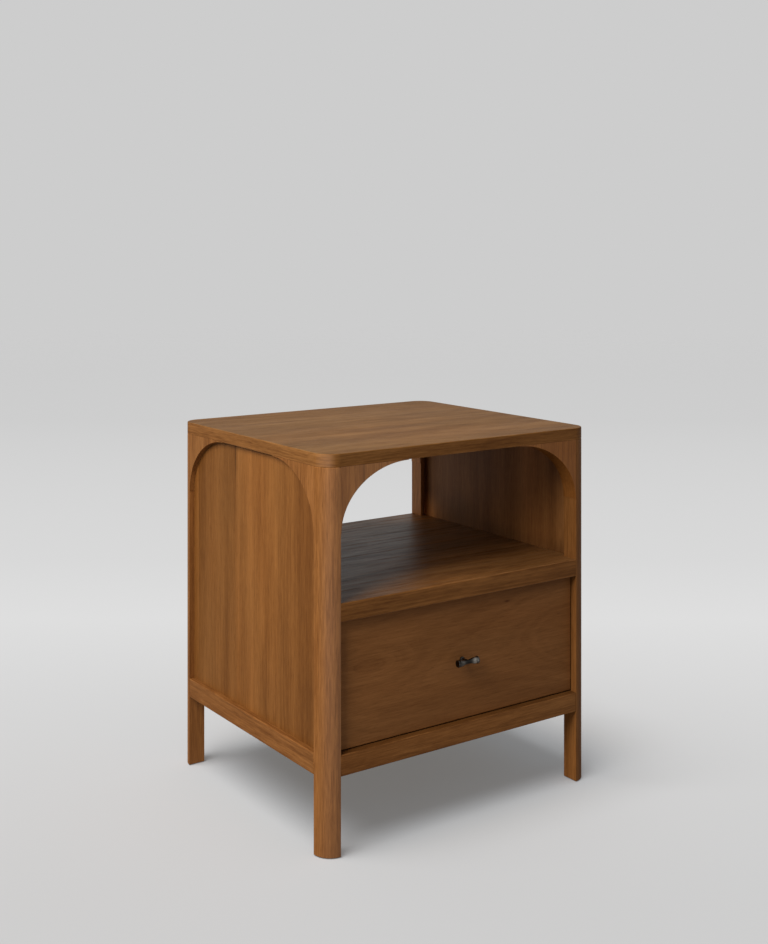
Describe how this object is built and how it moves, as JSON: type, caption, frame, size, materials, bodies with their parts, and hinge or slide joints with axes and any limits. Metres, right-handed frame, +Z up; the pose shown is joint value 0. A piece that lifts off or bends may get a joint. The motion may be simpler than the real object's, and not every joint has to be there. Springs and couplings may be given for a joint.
{
  "type": "bedside cabinet",
  "caption": "Wooden bedside cabinet with an open arched compartment over an inset drawer on ball-bearing slides, on rounded post legs.",
  "frame": {"origin": "on the floor, under the centre of the overall box (frame and drawer pull together)", "axes": "+Z up, the front faces -Y, +X to the right of someone standing in front"},
  "size_m": [0.538, 0.4716, 0.6],
  "materials": {
    "wood_top": "satin oil, grain along the width",
    "wood_frame": "satin oil, grain along each piece",
    "wood_panel": "satin oil, vertical grain",
    "wood_shelf": "satin oil, grain along the width",
    "wood_drawer_front": "satin oil, grain along the width",
    "lining_wood": "matt sealed, paler secondary wood",
    "plywood": "matt sealed plywood",
    "slide_steel": "zinc-plated cold-rolled steel",
    "screw_steel": "zinc-plated",
    "dark_bronze": "dark bronzed metal, half-gloss",
    "nylon": "dark moulded nylon"
  },
  "bodies": {
    "carcass": {"top_panel": "wood_top", "shelf": "wood_shelf", "back_panel": "wood_panel", "dust_panel": "plywood", "front_rail": "wood_frame", "back_rail": "wood_frame", "post_fl": "wood_frame", "post_bl": "wood_frame", "glide_fl": "nylon", "glide_bl": "nylon", "bracket_front_l": "wood_frame", "bracket_back_l": "wood_frame", "bracket_side_lf": "wood_frame", "bracket_side_lb": "wood_frame", "side_panel_l": "wood_panel", "side_rail_l": "wood_frame", "batten_l": "lining_wood", "slide_outer_l": "slide_steel", "slide_screw_outer_l1": "screw_steel", "slide_screw_outer_l2": "screw_steel", "post_fr": "wood_frame", "post_br": "wood_frame", "glide_fr": "nylon", "glide_br": "nylon", "bracket_front_r": "wood_frame", "bracket_back_r": "wood_frame", "bracket_side_rf": "wood_frame", "bracket_side_rb": "wood_frame", "side_panel_r": "wood_panel", "side_rail_r": "wood_frame", "batten_r": "lining_wood", "slide_outer_r": "slide_steel", "slide_screw_outer_r1": "screw_steel", "slide_screw_outer_r2": "screw_steel"},
    "drawer": {"drawer_front": "wood_drawer_front", "drawer_box_front": "lining_wood", "drawer_back": "lining_wood", "drawer_bottom": "plywood", "pull_bar": "dark_bronze", "pull_stem": "dark_bronze", "pull_screw": "screw_steel", "front_screw_l": "screw_steel", "front_screw_r": "screw_steel", "drawer_side_l": "lining_wood", "slide_inner_l": "slide_steel", "slide_screw_inner_l1": "screw_steel", "slide_screw_inner_l2": "screw_steel", "drawer_side_r": "lining_wood", "slide_inner_r": "slide_steel", "slide_screw_inner_r1": "screw_steel", "slide_screw_inner_r2": "screw_steel"},
    "slide_middle_l": {"slide_middle_l": "slide_steel"},
    "cage_outer_l": {"cage_outer_l": "slide_steel"},
    "cage_inner_l": {"cage_inner_l": "slide_steel"},
    "slide_middle_r": {"slide_middle_r": "slide_steel"},
    "cage_outer_r": {"cage_outer_r": "slide_steel"},
    "cage_inner_r": {"cage_inner_r": "slide_steel"}
  },
  "joints": [
    {"name": "drawer_slide", "type": "slide", "parent": "carcass", "child": "drawer", "axis": [0, -1, 0], "range_m": [0, 0.4]},
    {"name": "slide_middle_l_travel", "type": "slide", "parent": "carcass", "child": "slide_middle_l", "axis": [0, -1, 0], "range_m": [0, 0.2]},
    {"name": "cage_outer_l_travel", "type": "slide", "parent": "carcass", "child": "cage_outer_l", "axis": [0, -1, 0], "range_m": [0, 0.1]},
    {"name": "cage_inner_l_travel", "type": "slide", "parent": "carcass", "child": "cage_inner_l", "axis": [0, -1, 0], "range_m": [0, 0.3]},
    {"name": "slide_middle_r_travel", "type": "slide", "parent": "carcass", "child": "slide_middle_r", "axis": [0, -1, 0], "range_m": [0, 0.2]},
    {"name": "cage_outer_r_travel", "type": "slide", "parent": "carcass", "child": "cage_outer_r", "axis": [0, -1, 0], "range_m": [0, 0.1]},
    {"name": "cage_inner_r_travel", "type": "slide", "parent": "carcass", "child": "cage_inner_r", "axis": [0, -1, 0], "range_m": [0, 0.3]}
  ],
  "couplings": [
    {"joint": "slide_middle_l_travel", "follows": "drawer_slide", "ratio": 0.5},
    {"joint": "cage_outer_l_travel", "follows": "drawer_slide", "ratio": 0.25},
    {"joint": "cage_inner_l_travel", "follows": "drawer_slide", "ratio": 0.75},
    {"joint": "slide_middle_r_travel", "follows": "drawer_slide", "ratio": 0.5},
    {"joint": "cage_outer_r_travel", "follows": "drawer_slide", "ratio": 0.25},
    {"joint": "cage_inner_r_travel", "follows": "drawer_slide", "ratio": 0.75}
  ]
}
